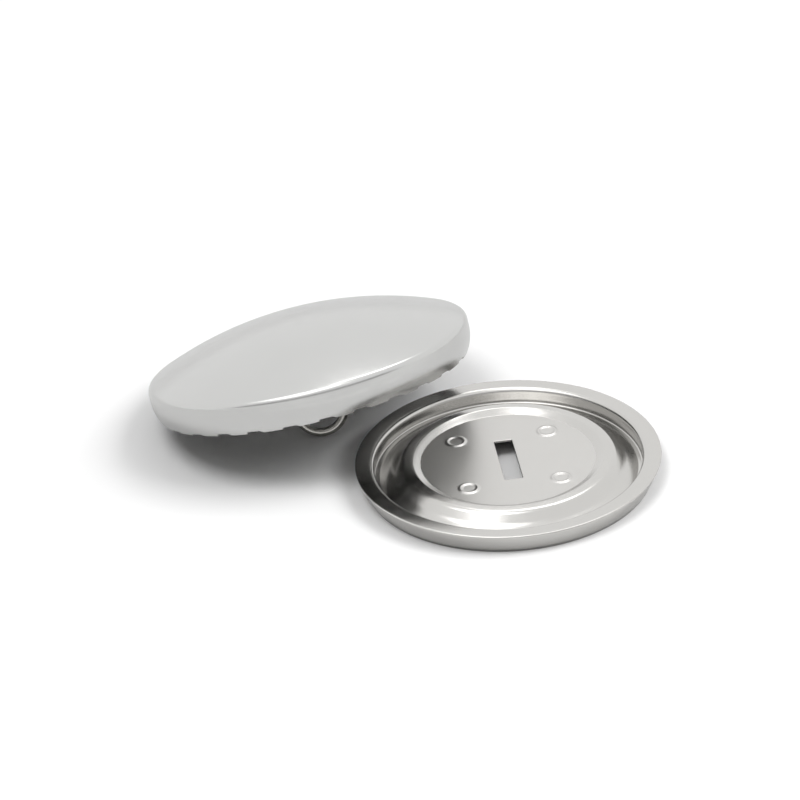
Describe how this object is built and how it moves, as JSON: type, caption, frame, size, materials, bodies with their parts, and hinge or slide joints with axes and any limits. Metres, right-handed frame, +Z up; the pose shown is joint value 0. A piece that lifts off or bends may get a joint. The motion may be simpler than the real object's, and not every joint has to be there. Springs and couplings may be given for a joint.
{
  "type": "self-cover button blank",
  "caption": "Metal blank for a fabric covered button, lying open: a domed shell with toothed rim and wire shank beside a stamped back plate with a slot.",
  "frame": {"origin": "on the table, under the middle of the box that both halves take as they lie", "axes": "+X from the shell towards the back plate, +Y away from the front, +Z up from the table"},
  "size_m": [0.0586, 0.0512, 0.0156],
  "materials": {
    "shell_metal": "satin nickel plating",
    "wire_metal": "bright drawn wire",
    "plate_metal": "stamped sheet with a half-bright nickel plating"
  },
  "bodies": {
    "root": {"shell": "shell_metal", "shank_bridge": "shell_metal", "shank_loop": "wire_metal", "back_plate": "plate_metal"}
  },
  "joints": []
}
